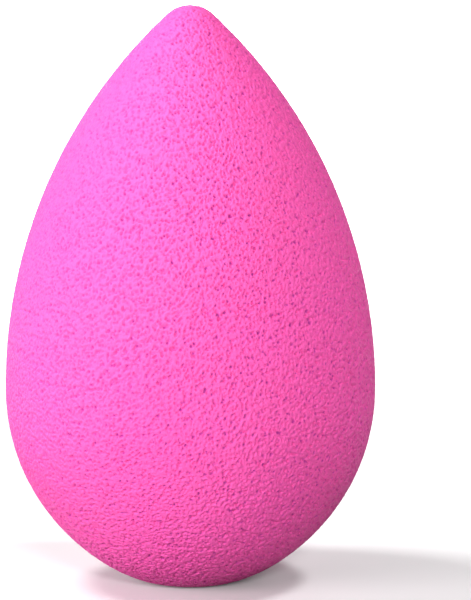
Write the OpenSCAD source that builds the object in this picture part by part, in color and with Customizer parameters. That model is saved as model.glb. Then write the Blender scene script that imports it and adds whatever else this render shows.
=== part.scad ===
// Teardrop makeup sponge: one piece of soft foam with a rounded tip and a full belly, pressed flat where
// it stands. Its outline is two arcs above the belly, and below it one curve that rolls into the seat.

/* [Body] */
// Height from the seat to the tip
sponge_height = 60; // [52:1:80]
// Diameter at the widest place
sponge_diameter = 38.2; // [34:0.2:46]
// Height of the widest place above the seat
widest_height = 20.4; // [16:0.2:26]
// Radius of the rounded tip
tip_radius = 3.4; // [2:0.1:6]

/* [Bottom] */
// Diameter of the flat that it stands on
seat_diameter = 6; // [4:0.5:14]
// How far the side keeps upright below the widest place, as a share of the way down
side_share = 0.64; // [0.5:0.01:0.75]
// How far the bottom keeps level beyond the seat, as a share of the way out
bottom_share = 0.31; // [0.2:0.01:0.6]

/* [Hidden] */

// Sides that the turned body has when it is drawn
$fn = 180;
// Most degrees that one straight stretch of an arc turns through
arc_step = 2;
// Straight stretches in the curve below the belly
curve_steps = 32;

belly = sponge_diameter / 2;
seat_radius = seat_diameter / 2;

// The flank's arc stands upright at the belly, and the tip's circle touches it from inside
rise = sponge_height - widest_height;
flank_radius = (belly ^ 2 + rise ^ 2 - 2 * rise * tip_radius) / (2 * (belly - tip_radius));
flank_centre = belly - flank_radius;
tip_centre = sponge_height - tip_radius;
tip_angle = atan2(tip_centre - widest_height, -flank_centre);

// The curve below the belly leaves it straight down, and comes to the rim of the seat level with the seat
under_curve = [
    [belly, widest_height],
    [belly, widest_height * (1 - side_share)],
    [seat_radius + (belly - seat_radius) * bottom_share, 0],
    [seat_radius, 0]
];

// Points along an arc about [out, up], all but the last, where the next stretch of the outline starts
function arc(radius, out, up, from, to) =
    let (steps = ceil(abs(to - from) / arc_step))
    [for (i = [0 : steps - 1])
        let (a = from + (to - from) * i / steps)
        [out + radius * cos(a), up + radius * sin(a)]];

// Points along the cubic curve from p[0] to p[3], which leans towards p[1] and p[2]
function cubic(p) =
    [for (i = [0 : curve_steps])
        let (t = i / curve_steps, s = 1 - t)
        s ^ 3 * p[0] + 3 * s ^ 2 * t * p[1] + 3 * s * t ^ 2 * p[2] + t ^ 3 * p[3]];

// Half of the outline, from the tip down to the seat and in to the axis
module teardrop_outline() {
    polygon(concat(
        arc(tip_radius, 0, tip_centre, 90, tip_angle),
        arc(flank_radius, flank_centre, widest_height, tip_angle, 0),
        cubic(under_curve),
        [[0, 0]]
    ));
}

// The whole sponge: fine open-cell foam, coloured right through
module foam_body() {
    color([0.97, 0.38, 0.76])
        rotate_extrude() teardrop_outline();
}

foam_body();
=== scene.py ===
"""A teardrop makeup sponge of fine pink foam, standing on a pale studio floor.

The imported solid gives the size. The foam body here takes its place: a fine mesh in the same
shape, with the grain, the cells and the open pores of the foam in it as real relief.
"""

import logging
import math
from collections.abc import Iterator, Mapping
from dataclasses import dataclass, field
from enum import Enum
from typing import Any

import bmesh
import bpy
import numpy as np
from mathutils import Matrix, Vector, kdtree, noise


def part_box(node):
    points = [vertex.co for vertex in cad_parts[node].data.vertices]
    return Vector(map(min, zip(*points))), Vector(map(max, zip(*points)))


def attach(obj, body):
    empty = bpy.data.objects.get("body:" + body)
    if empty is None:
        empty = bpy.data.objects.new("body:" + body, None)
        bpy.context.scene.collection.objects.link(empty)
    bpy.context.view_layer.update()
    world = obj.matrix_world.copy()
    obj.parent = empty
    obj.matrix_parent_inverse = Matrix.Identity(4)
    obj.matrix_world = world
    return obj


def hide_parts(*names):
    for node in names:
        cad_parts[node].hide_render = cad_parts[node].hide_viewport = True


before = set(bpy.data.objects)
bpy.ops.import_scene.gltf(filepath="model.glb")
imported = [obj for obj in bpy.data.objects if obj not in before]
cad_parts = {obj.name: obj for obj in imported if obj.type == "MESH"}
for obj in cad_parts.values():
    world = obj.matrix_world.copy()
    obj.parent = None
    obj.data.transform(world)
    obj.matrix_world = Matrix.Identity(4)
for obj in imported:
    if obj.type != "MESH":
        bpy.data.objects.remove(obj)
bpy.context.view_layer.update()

LOG = logging.getLogger("sponge")
MM = 0.001

# These keep a length on the unit ball, and a squared length in metres, from being divided by as 0
TINY = 1e-9
TINY_SQUARE = 1e-12
# A point of the unit ball that is nearer to the axis than this is a pole
POLE_REACH = 1e-6


@dataclass(frozen=True)
class Teardrop:
    """The outline of the sponge, turned about the upright axis. Lengths are in metres.

    Two arcs, the flank and the tip, stand above the widest place, and one curve below it
    rolls into the flat seat.
    """

    height: float
    belly: float
    widest: float = 20.4 * MM
    tip_radius: float = 3.4 * MM
    seat_radius: float = 3.0 * MM
    side_share: float = 0.64
    bottom_share: float = 0.31
    stretches: int = 400

    def lower(self) -> np.ndarray:
        """Trace the curve below the belly.

        Returns:
            Points as rows of distance from the axis and height, from the seat's rim upwards.
        """
        corners = np.array([
            [self.seat_radius, 0],
            [self.seat_radius + (self.belly - self.seat_radius) * self.bottom_share, 0],
            [self.belly, self.widest * (1 - self.side_share)],
            [self.belly, self.widest],
        ])
        t = np.linspace(0, 1, self.stretches)[:, None]
        s = 1 - t
        return s**3 * corners[0] + 3 * s**2 * t * corners[1] + 3 * s * t**2 * corners[2] + t**3 * corners[3]

    def upper(self) -> np.ndarray:
        """Trace the flank's arc and the tip's arc, which run smoothly into each other.

        Returns:
            Points as rows of distance from the axis and height, from the belly to the tip.
        """
        rise = self.height - self.widest
        square = self.belly**2 + rise**2 - 2 * rise * self.tip_radius
        flank = square / (2 * (self.belly - self.tip_radius))
        out, up = self.belly - flank, self.height - self.tip_radius
        meet = math.atan2(up - self.widest, -out)
        turn = np.linspace(0, meet, self.stretches)[:, None]
        side = np.hstack([out + flank * np.cos(turn), self.widest + flank * np.sin(turn)])
        turn = np.linspace(meet, math.pi / 2, self.stretches)[:, None]
        tip = np.hstack([self.tip_radius * np.cos(turn), up + self.tip_radius * np.sin(turn)])
        return np.vstack([side[1:], tip[1:]])

    def outline(self) -> np.ndarray:
        """Join the seat, the curve below the belly and the arcs above it.

        Returns:
            Points as rows of distance from the axis and height, from the seat's middle to the tip.
        """
        along = np.linspace(0, self.seat_radius, self.stretches, endpoint=False)
        seat = np.column_stack([along, np.zeros_like(along)])
        points = np.vstack([seat, self.lower(), self.upper()])
        points[-1, 0] = 0
        return points

    def places(self, ball: np.ndarray) -> tuple[np.ndarray, np.ndarray]:
        """Carry points of a unit ball to the teardrop, each patch keeping its share of the skin.

        Args:
            ball: Points on the unit sphere, one a row.

        Returns:
            Their places on the teardrop, and the outward normals there.
        """
        points = self.outline()
        steps = np.diff(points, axis=0)
        lengths = np.hypot(steps[:, 0], steps[:, 1])
        middles = (points[1:, 0] + points[:-1, 0]) / 2
        share = np.concatenate([[0], np.cumsum(lengths * middles)])
        polar = np.arccos(np.clip(1 - 2 * share / share[-1], -1, 1))
        slopes = np.gradient(points, axis=0)
        slopes /= np.hypot(slopes[:, 0], slopes[:, 1])[:, None]
        from_axis = np.hypot(ball[:, 0], ball[:, 1])
        angle = np.arctan2(from_axis, -ball[:, 2])
        around = ball[:, :2] / np.maximum(from_axis, TINY)[:, None]
        reach, up, climb, spread = (
            np.interp(angle, polar, values)
            for values in (points[:, 0], points[:, 1], slopes[:, 1], slopes[:, 0])
        )
        places = np.column_stack([around * reach[:, None], up])
        normals = np.column_stack([around * climb[:, None], -spread])
        return places, normals / np.linalg.norm(normals, axis=1)[:, None]

    def skin(self) -> float:
        """Work out the area of the whole surface.

        Returns:
            The area in square metres.
        """
        points = self.outline()
        steps = np.diff(points, axis=0)
        middles = (points[1:, 0] + points[:-1, 0]) / 2
        return float(2 * math.pi * np.sum(np.hypot(steps[:, 0], steps[:, 1]) * middles))


class PoreKind(Enum):
    """How a pore of the foam shows: open, with painted shade darkening it inside, or as a cell with a little
    painted shade.
    """

    OPEN = "open"
    CELL = "cell"


@dataclass(frozen=True)
class Pore:
    """One pore: a rounded slot in the surface. Lengths are in metres.

    The smaller its taper, the flatter its bottom and the steeper its walls.
    """

    middle: np.ndarray
    along: np.ndarray
    radius: float
    depth: float
    strength: float
    taper: float = 0.7

    def cup(self, places: np.ndarray) -> np.ndarray:
        """Work out how deep in the pore each place lies.

        Args:
            places: Points of the surface, one a row.

        Returns:
            A number for each, from 0 outside the pore to 1 along its middle.
        """
        offset = places - self.middle
        slide = np.clip(offset @ self.along / max(self.along @ self.along, TINY_SQUARE), -1, 1)
        away = np.linalg.norm(offset - slide[:, None] * self.along, axis=1)
        return np.clip(1 - (away / self.radius) ** 2, 0, 1) ** self.taper


@dataclass(frozen=True)
class Pores:
    """One kind of pore, strewn evenly but not regularly over the foam.

    Lengths are in metres. The stretch is half of a slot's greatest length as a share of its
    radius, the wander is how far pores stray as a share of their spacing, the least share is
    the strength of the faintest, and the two powers make small pores more common than large.
    """

    kind: PoreKind
    spacing: float
    least_radius: float
    most_radius: float
    depth: float
    seed: int
    stretch: float = 0.5
    wander: float = 0.42
    least_share: float = 0.35
    rise_power: float = 1.3
    fall_power: float = 2.0

    def strew(self, shape: Teardrop) -> Iterator[Pore]:
        """Choose where the pores lie, and the size of each.

        Args:
            shape: The teardrop that they lie on.

        Yields:
            The pores, one by one.
        """
        random = np.random.default_rng(self.seed)
        count = int(shape.skin() / self.spacing**2)
        order = np.arange(count) + 0.5 + random.uniform(-1, 1, count) * self.wander
        golden = math.pi * (3 - math.sqrt(5))
        cell = math.sqrt(4 * math.pi / count)
        up = np.clip(1 - 2 * order / count + random.normal(0, self.wander, count) * cell, -1, 1)
        out = np.sqrt(1 - up**2)
        slip = random.normal(0, self.wander, count) * cell / np.maximum(out, cell)
        turn = np.arange(count) * golden + slip
        middles, normals = shape.places(np.column_stack([out * np.cos(turn), out * np.sin(turn), up]))
        size = random.beta(self.rise_power, self.fall_power, count)
        radii = self.least_radius + (self.most_radius - self.least_radius) * size
        strengths = random.uniform(self.least_share, 1, count)
        depths = self.depth * radii / self.most_radius * strengths
        sideways = np.cross(normals, random.normal(size=(count, 3)))
        sideways /= np.linalg.norm(sideways, axis=1)[:, None]
        slots = sideways * (radii * random.uniform(0, self.stretch, count))[:, None]
        for values in zip(middles, slots, radii, depths, strengths):
            yield Pore(*values)


@dataclass(frozen=True)
class Grain:
    """The unevenness of the ground foam, fine and broad, everywhere between and inside its cells."""

    pitch: float = 0.2 * MM
    depth: float = 0.07 * MM
    broad_pitch: float = 1.1 * MM
    broad_depth: float = 0.04 * MM

    def relief(self, places: np.ndarray) -> np.ndarray:
        """Work out how far the surface lies below its highest level, without the pores.

        Args:
            places: Points of the surface, one a row.

        Returns:
            Depths in metres, none below zero.
        """
        fine = self._share(places / self.pitch)
        broad = self._share(places / self.broad_pitch)
        return self.depth * fine + self.broad_depth * broad

    @staticmethod
    def _share(places: np.ndarray) -> np.ndarray:
        """Return a smooth random number at each place, from 0 to 1."""
        return np.clip([0.5 - 0.5 * noise.noise(Vector(place)) for place in places], 0, 1)


class Number:
    """A number in a node tree, on which arithmetic adds Math nodes."""

    def __init__(self, bench: "Bench", socket: bpy.types.NodeSocket) -> None:
        """Hold a socket.

        Args:
            bench: The tree that the socket is in.
            socket: The output socket that gives the number.
        """
        self.bench = bench
        self.socket = socket

    def _math(self, operation: str, first: Any, second: Any) -> "Number":
        """Add a Math node.

        Args:
            operation: The node's operation.
            first: Its first value or number.
            second: Its second value or number.

        Returns:
            The node's result.
        """
        node = self.bench.node("ShaderNodeMath", {"operation": operation}, {0: first, 1: second})
        return Number(self.bench, node.outputs[0])

    def __add__(self, other: Any) -> "Number":
        """Return this plus other."""
        return self._math("ADD", self, other)

    __radd__ = __add__

    def __sub__(self, other: Any) -> "Number":
        """Return this less other."""
        return self._math("SUBTRACT", self, other)

    def __rsub__(self, other: Any) -> "Number":
        """Return other less this."""
        return self._math("SUBTRACT", other, self)

    def __mul__(self, other: Any) -> "Number":
        """Return this times other."""
        return self._math("MULTIPLY", self, other)

    __rmul__ = __mul__


class Bench:
    """Lays out the nodes of one material or world."""

    # Where a Mix node has its sockets for colours
    MIX_SHARE = 0
    MIX_FIRST = 6
    MIX_SECOND = 7
    MIX_RESULT = 2

    def __init__(self, owner: bpy.types.ID) -> None:
        """Empty the owner's node tree.

        Args:
            owner: The material or world that the nodes belong to.
        """
        owner.use_nodes = True
        self.tree = owner.node_tree
        self.tree.nodes.clear()

    def node(
        self,
        kind: str,
        settings: Mapping[str, Any] | None = None,
        inputs: Mapping[str | int, Any] | None = None,
    ) -> bpy.types.Node:
        """Add a node.

        Args:
            kind: The node's type.
            settings: Its settings by name, which are set first.
            inputs: A value, a number or a socket for each input, by name or by place.

        Returns:
            The node.
        """
        made = self.tree.nodes.new(kind)
        for name, value in (settings or {}).items():
            setattr(made, name, value)
        for name, value in (inputs or {}).items():
            source = value.socket if isinstance(value, Number) else value
            if isinstance(source, bpy.types.NodeSocket):
                self.tree.links.new(source, made.inputs[name])
            else:
                made.inputs[name].default_value = source
        return made

    def mix(self, share: Any, first: Any, second: Any) -> bpy.types.NodeSocket:
        """Mix two colours.

        Args:
            share: How much of the second colour there is.
            first: A colour or a colour socket.
            second: A colour or a colour socket.

        Returns:
            The mixed colour's socket.
        """
        inputs = {self.MIX_SHARE: share, self.MIX_FIRST: first, self.MIX_SECOND: second}
        return self.node("ShaderNodeMix", {"data_type": "RGBA"}, inputs).outputs[self.MIX_RESULT]

    def seen(self) -> Number:
        """Tell the rays that show a surface to the eye: straight, mirrored or through glass.

        Returns:
            1 for those rays, and 0 for all others.
        """
        rays = self.node("ShaderNodeLightPath")
        straight, mirrored, through = (
            Number(self, rays.outputs[name])
            for name in ("Is Camera Ray", "Is Glossy Ray", "Is Transmission Ray")
        )
        return straight + (1 - straight) * (mirrored + (1 - mirrored) * through)


@dataclass(frozen=True)
class FoamFinish:
    """Fine open-cell foam, dyed right through and nearly matt, with painted shade inside its open pores.

    The cells take a small share of that painted shade. The bump stands for grain that is finer
    than the mesh. Lengths are in metres.
    """

    skin: tuple[float, float, float, float] = (0.93, 0.104, 0.455, 1)
    warm_skin: tuple[float, float, float, float] = (0.95, 0.112, 0.43, 1)
    # The open pores' colour is painted shade: darker and more purple where the pits lie in shade
    pore: tuple[float, float, float, float] = (0.38, 0.035, 0.3, 1)
    # The share of the pores' painted shade that darkens the cells
    cell_shade_share: float = 0.12
    cloud_size: float = 8 * MM
    speck_size: float = 0.17 * MM
    noise_layers: float = 2
    bump_strength: float = 0.9
    bump_height: float = 0.08 * MM
    roughness: float = 0.5
    pore_roughness: float = 0.2
    speck_roughness: float = 0.08
    gloss: float = 0.2
    refraction: float = 1.45

    def material(self) -> bpy.types.Material:
        """Make the material.

        Returns:
            The foam's material.
        """
        made = bpy.data.materials.new("pink_foam")
        bench = Bench(made)
        pore, cell_shade = (
            Number(bench, bench.node("ShaderNodeAttribute", {"attribute_name": name}).outputs["Fac"])
            for name in ("pore", "cell_shade")
        )
        place = bench.node("ShaderNodeTexCoord").outputs["Object"]
        cloud = self._noise(bench, place, self.cloud_size)
        speck = self._noise(bench, place, self.speck_size)
        skin = bench.mix(cloud, self.skin, self.warm_skin)
        # Painted shade: the colour darkens towards the pore colour by how deep each point lies in an open
        # pore, and less so in a cell
        colour = bench.mix(pore + self.cell_shade_share * cell_shade * (1 - pore), skin, self.pore)
        bump = bench.node(
            "ShaderNodeBump",
            inputs={"Strength": self.bump_strength, "Distance": self.bump_height, "Height": speck},
        )
        surface = bench.node(
            "ShaderNodeBsdfPrincipled",
            inputs={
                "Base Color": colour,
                "Roughness": self.roughness + self.pore_roughness * pore + self.speck_roughness * speck,
                "Normal": bump.outputs[0],
                "Specular IOR Level": self.gloss,
                "IOR": self.refraction,
            },
        )
        bench.node("ShaderNodeOutputMaterial", inputs={"Surface": surface.outputs[0]})
        return made

    def _noise(self, bench: Bench, place: bpy.types.NodeSocket, size: float) -> Number:
        """Add a noise pattern.

        Args:
            bench: The tree that it goes into.
            place: The coordinates that it follows.
            size: The size of its patches in metres.

        Returns:
            The pattern, from about 0 to 1.
        """
        inputs = {"Vector": place, "Scale": 1 / size, "Detail": self.noise_layers}
        return Number(bench, bench.node("ShaderNodeTexNoise", inputs=inputs).outputs["Fac"])


@dataclass
class FoamBody:
    """The whole sponge: one teardrop of foam, fine-meshed so that its pores are real hollows.

    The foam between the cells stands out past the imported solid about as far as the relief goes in
    on average, and is flat where it stands, a hair above the floor. Lengths are in metres, and
    the map's margin is a share of the sheet.
    """

    shape: Teardrop
    finish: FoamFinish = field(default_factory=FoamFinish)
    grain: Grain = field(default_factory=Grain)
    pores: tuple[Pores, ...] = (
        Pores(PoreKind.OPEN, 0.7 * MM, 0.1 * MM, 0.17 * MM, 0.3 * MM, seed=7, least_share=0.15),
        Pores(PoreKind.CELL, 0.34 * MM, 0.085 * MM, 0.15 * MM, 0.4 * MM, seed=19, least_share=0.2),
    )
    halvings: int = 9
    stand_out: float = 0.12 * MM
    seat_gap: float = 0.02 * MM
    map_margin: float = 0.004

    def build(self) -> bpy.types.Object:
        """Mould, press, unwrap and dress the sponge.

        Returns:
            The finished piece.
        """
        mesh = self._ball()
        ball = self._read(mesh)
        places, normals = self.shape.places(ball)
        depth, pore, cell_shade = self._relief(places)
        places += normals * (self.stand_out - depth)[:, None]
        places[:, 2] = np.maximum(places[:, 2], self.seat_gap)
        mesh.vertices.foreach_set("co", places.ravel())
        # The two masks that the material turns into painted shade
        self._note(mesh, "pore", pore)
        self._note(mesh, "cell_shade", cell_shade)
        self._unwrap(mesh, ball)
        mesh.polygons.foreach_set("use_smooth", np.ones(len(mesh.polygons), dtype=bool))
        mesh.materials.append(self.finish.material())
        mesh.update()
        piece = bpy.data.objects.new("sponge_foam", mesh)
        bpy.context.scene.collection.objects.link(piece)
        return piece

    def _ball(self) -> bpy.types.Mesh:
        """Make a fine ball of even triangles.

        Returns:
            Its mesh, with a radius of 1.
        """
        shaper = bmesh.new()
        bmesh.ops.create_icosphere(shaper, subdivisions=self.halvings, radius=1)
        mesh = bpy.data.meshes.new("sponge_foam")
        shaper.to_mesh(mesh)
        shaper.free()
        return mesh

    @staticmethod
    def _read(mesh: bpy.types.Mesh) -> np.ndarray:
        """Read a mesh's points.

        Args:
            mesh: The mesh.

        Returns:
            Its points, one a row.
        """
        flat = np.empty(len(mesh.vertices) * 3)
        mesh.vertices.foreach_get("co", flat)
        return flat.reshape(-1, 3)

    def _relief(self, places: np.ndarray) -> tuple[np.ndarray, np.ndarray, np.ndarray]:
        """Work out the depth of the foam's relief at each point.

        Args:
            places: Points of the smooth teardrop, one a row.

        Returns:
            The depth in metres, and how far each point lies in an open pore and in a cell, both
            from 0 to 1; these two set how much painted shade each point gets.
        """
        tree = kdtree.KDTree(len(places))
        for number, place in enumerate(places):
            tree.insert(place, number)
        tree.balance()
        grain = self.grain.relief(places)
        depth, pore, cell_shade = grain.copy(), np.zeros(len(places)), np.zeros(len(places))
        for group in self.pores:
            # Each pore's cup also writes a mask of painted shade: open pores into one, cells into the other
            shade_mask = pore if group.kind is PoreKind.OPEN else cell_shade
            for each in group.strew(self.shape):
                reach = each.radius + float(np.linalg.norm(each.along))
                near = [number for _, number, _ in tree.find_range(each.middle, reach)]
                if near:
                    cup = each.cup(places[near])
                    depth[near] = np.maximum(depth[near], each.depth * cup + grain[near])
                    shade_mask[near] = np.maximum(shade_mask[near], each.strength * cup)
        return depth, pore, cell_shade

    @staticmethod
    def _note(mesh: bpy.types.Mesh, name: str, values: np.ndarray) -> None:
        """Write a number at each point of a mesh.

        Args:
            mesh: The mesh.
            name: The attribute's name.
            values: A value for each point.
        """
        mesh.attributes.new(name, "FLOAT", "POINT").data.foreach_set("value", values)

    def _unwrap(self, mesh: bpy.types.Mesh, ball: np.ndarray) -> None:
        """Lay the skin out as one sheet, cut along the back.

        Args:
            mesh: The mesh.
            ball: The points of the ball that it was moulded from, one a row.
        """
        corners = np.empty(len(mesh.loops), dtype=np.int32)
        mesh.loops.foreach_get("vertex_index", corners)
        from_axis = np.hypot(ball[:, 0], ball[:, 1])
        turn = np.arctan2(ball[:, 0], -ball[:, 1])[corners].reshape(-1, 3)
        across = turn.max(1) - turn.min(1) > math.pi
        turn[across] = np.where(turn[across] < 0, turn[across] + 2 * math.pi, turn[across])
        pole = (from_axis < POLE_REACH)[corners].reshape(-1, 3)
        others = np.where(pole, 0, turn).sum(1) / np.maximum(1, (~pole).sum(1))
        turn = np.where(pole, others[:, None], turn)
        climb = np.arctan2(from_axis, -ball[:, 2]) / math.pi
        room = 1 - 2 * self.map_margin
        flat = np.column_stack([
            self.map_margin + room * (turn.ravel() / (2 * math.pi) + 0.5),
            self.map_margin + room * climb[corners],
        ])
        mesh.uv_layers.new(name="OFBake").data.foreach_set("uv", flat.ravel())


@dataclass(frozen=True)
class SoftBox:
    """A round studio lamp with a soft, even face, hung where its bearing and rise put it.

    The bearing is in degrees round from the camera's side, to the right, and the rise in degrees
    above level, both from the point that it faces. Lengths are in metres.
    """

    name: str
    bearing: float
    rise: float
    watts: float
    width: float = 0.4
    distance: float = 0.75

    def hang(self, aim: Vector) -> bpy.types.Object:
        """Put the lamp up.

        Args:
            aim: The point that it faces.

        Returns:
            The lamp.
        """
        light = bpy.data.lights.new(self.name, "AREA")
        light.shape = "DISK"
        light.size = self.width
        light.energy = self.watts
        lamp = bpy.data.objects.new(self.name, light)
        bearing, rise = math.radians(self.bearing), math.radians(self.rise)
        out = math.cos(rise)
        away = Vector((math.sin(bearing) * out, -math.cos(bearing) * out, math.sin(rise)))
        lamp.location = aim + self.distance * away
        lamp.rotation_euler = away.to_track_quat("Z", "Y").to_euler()
        lamp.visible_camera = False
        bpy.context.scene.collection.objects.link(lamp)
        return lamp


@dataclass
class Studio:
    """The floor, the light and the room. The floor turns up at its edge, behind a level view.

    Lengths are in metres. The paint's lift is the white that it shows by itself, which grows from
    the least, near the sponge, to all of it at a distance.
    """

    aim: Vector
    floor_reach: float = 3.0
    bend_radius: float = 0.3
    rim_height: float = 0.8
    slices: int = 96
    bend_steps: int = 12
    weld: float = 0.1 * MM
    floor_white: tuple[float, float, float, float] = (0.86, 0.86, 0.86, 1)
    floor_return: tuple[float, float, float, float] = (0.25, 0.25, 0.25, 1)
    near_lift: float = 0.08
    lift_start: float = 0.03
    lift_end: float = 0.3
    fill: float = 0.05
    lamps: tuple[SoftBox, ...] = (
        SoftBox("key_lamp", -55, 12, 3.9),
        SoftBox("side_lamp", -100, 14, 1.5),
        SoftBox("high_left_lamp", -98, 59, 3.6, width=0.22),
        SoftBox("front_lamp", -28, 12, 1.6),
        SoftBox("rear_lamp", -178, 10, 1.9),
        SoftBox("low_right_lamp", 8, 18, 3.0, width=0.12),
        SoftBox("high_right_lamp", 80, 62, 2.2, width=0.12),
    )

    def build(self) -> None:
        """Lay the floor, light the room and put up the lamps."""
        self._floor()
        self._room()
        for lamp in self.lamps:
            lamp.hang(self.aim)

    def _floor(self) -> None:
        """Lay a wide round floor with an upturned edge."""
        shaper = bmesh.new()
        flat = self.floor_reach - self.bend_radius
        turns = np.linspace(0, math.pi / 2, self.bend_steps)
        bend = [(flat + self.bend_radius * math.sin(t), self.bend_radius * (1 - math.cos(t))) for t in turns]
        line = [(0, 0), *bend, (self.floor_reach, self.rim_height)]
        points = [shaper.verts.new((out, 0, up)) for out, up in line]
        edges = [shaper.edges.new(pair) for pair in zip(points, points[1:])]
        bmesh.ops.spin(
            shaper, geom=points + edges, cent=(0, 0, 0), axis=(0, 0, 1), angle=2 * math.pi,
            steps=self.slices, use_merge=True,
        )
        bmesh.ops.remove_doubles(shaper, verts=shaper.verts, dist=self.weld)
        bmesh.ops.recalc_face_normals(shaper, faces=shaper.faces)
        mesh = bpy.data.meshes.new("floor")
        shaper.to_mesh(mesh)
        shaper.free()
        mesh.materials.append(self._paint())
        floor = bpy.data.objects.new("floor", mesh)
        bpy.context.scene.collection.objects.link(floor)

    def _paint(self) -> bpy.types.Material:
        """Mix the floor's paint: white to look at where no shadow falls, but returning little light.

        The lamps reach only the floor near the sponge, so further off the paint shows white by itself.

        Returns:
            The floor's material.
        """
        paint = bpy.data.materials.new("floor_paint")
        bench = Bench(paint)
        seen = bench.seen()
        place = bench.node("ShaderNodeTexCoord").outputs["Object"]
        away = bench.node("ShaderNodeVectorMath", {"operation": "LENGTH"}, {0: place})
        lift = bench.node(
            "ShaderNodeMapRange",
            {"interpolation_type": "SMOOTHSTEP"},
            {"Value": away.outputs["Value"], "From Min": self.lift_start, "From Max": self.lift_end,
             "To Min": self.near_lift, "To Max": 1.0},
        )
        share = seen * Number(bench, lift.outputs["Result"])
        colour = bench.mix(seen, self.floor_return, self.floor_white)
        matt = bench.node("ShaderNodeBsdfDiffuse", inputs={"Color": colour})
        dark = bench.node("ShaderNodeEmission", inputs={"Color": (0, 0, 0, 1), "Strength": 1.0})
        white = bench.node("ShaderNodeEmission", inputs={"Color": (1, 1, 1, 1), "Strength": 1.0})
        glow = bench.node("ShaderNodeMixShader", inputs={0: share, 1: dark.outputs[0], 2: white.outputs[0]})
        both = bench.node("ShaderNodeAddShader", inputs={0: matt.outputs[0], 1: glow.outputs[0]})
        bench.node("ShaderNodeOutputMaterial", inputs={"Surface": both.outputs[0]})
        return paint

    def _room(self) -> None:
        """Fill the room above the floor with a little plain light."""
        world = bpy.data.worlds.new("room")
        bpy.context.scene.world = world
        bench = Bench(world)
        light = bench.node("ShaderNodeBackground", inputs={"Color": (1, 1, 1, 1), "Strength": self.fill})
        bench.node("ShaderNodeOutputWorld", inputs={"Surface": light.outputs[0]})


@dataclass(frozen=True)
class PhotoCamera:
    """A long lens that looks a little down on the sponge, as the photograph does."""

    distance: float = 0.5
    elevation: float = 8.0
    sensor: float = 36.0
    frame_wide: int = 471
    frame_high: int = 600
    pixels_per_metre: float = 9660.0
    axis_column: float = 190.4
    middle_row: float = 295.0
    middle_height: float = 30 * MM

    def set_up(self) -> bpy.types.Object:
        """Place the camera and make it the scene's own.

        Returns:
            The camera.
        """
        view = bpy.data.cameras.new("camera")
        view.sensor_width = self.sensor
        view.lens = self.pixels_per_metre * self.distance * self.sensor / self.frame_high
        camera = bpy.data.objects.new("camera", view)
        tilt = math.radians(self.elevation)
        camera.location = (
            0,
            -self.distance * math.cos(tilt),
            self.middle_height + self.distance * math.sin(tilt),
        )
        aside = (self.frame_wide / 2 - self.axis_column) / self.pixels_per_metre
        below = (self.frame_high / 2 - self.middle_row) / self.pixels_per_metre
        aim = Vector((aside, 0, self.middle_height - below / math.cos(tilt)))
        camera.rotation_euler = (aim - camera.location).to_track_quat("-Z", "Y").to_euler()
        bpy.context.scene.collection.objects.link(camera)
        bpy.context.scene.camera = camera
        return camera


def main() -> None:
    """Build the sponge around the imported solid, then the studio."""
    logging.basicConfig(level=logging.INFO, format="%(name)s: %(message)s")
    bpy.context.scene.view_settings.view_transform = "Standard"
    low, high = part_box("foam_body")
    shape = Teardrop(height=high[2] - low[2], belly=(high[0] - low[0]) / 2)
    foam = FoamBody(shape).build()
    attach(foam, "root")
    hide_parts("foam_body")
    LOG.info("%s has %d faces", foam.name, len(foam.data.polygons))
    Studio(aim=Vector((0, 0, shape.height / 2))).build()
    camera = PhotoCamera().set_up()
    LOG.info("%s stands %.3f m away", camera.name, camera.location.length)


if __name__ == "__main__":
    main()
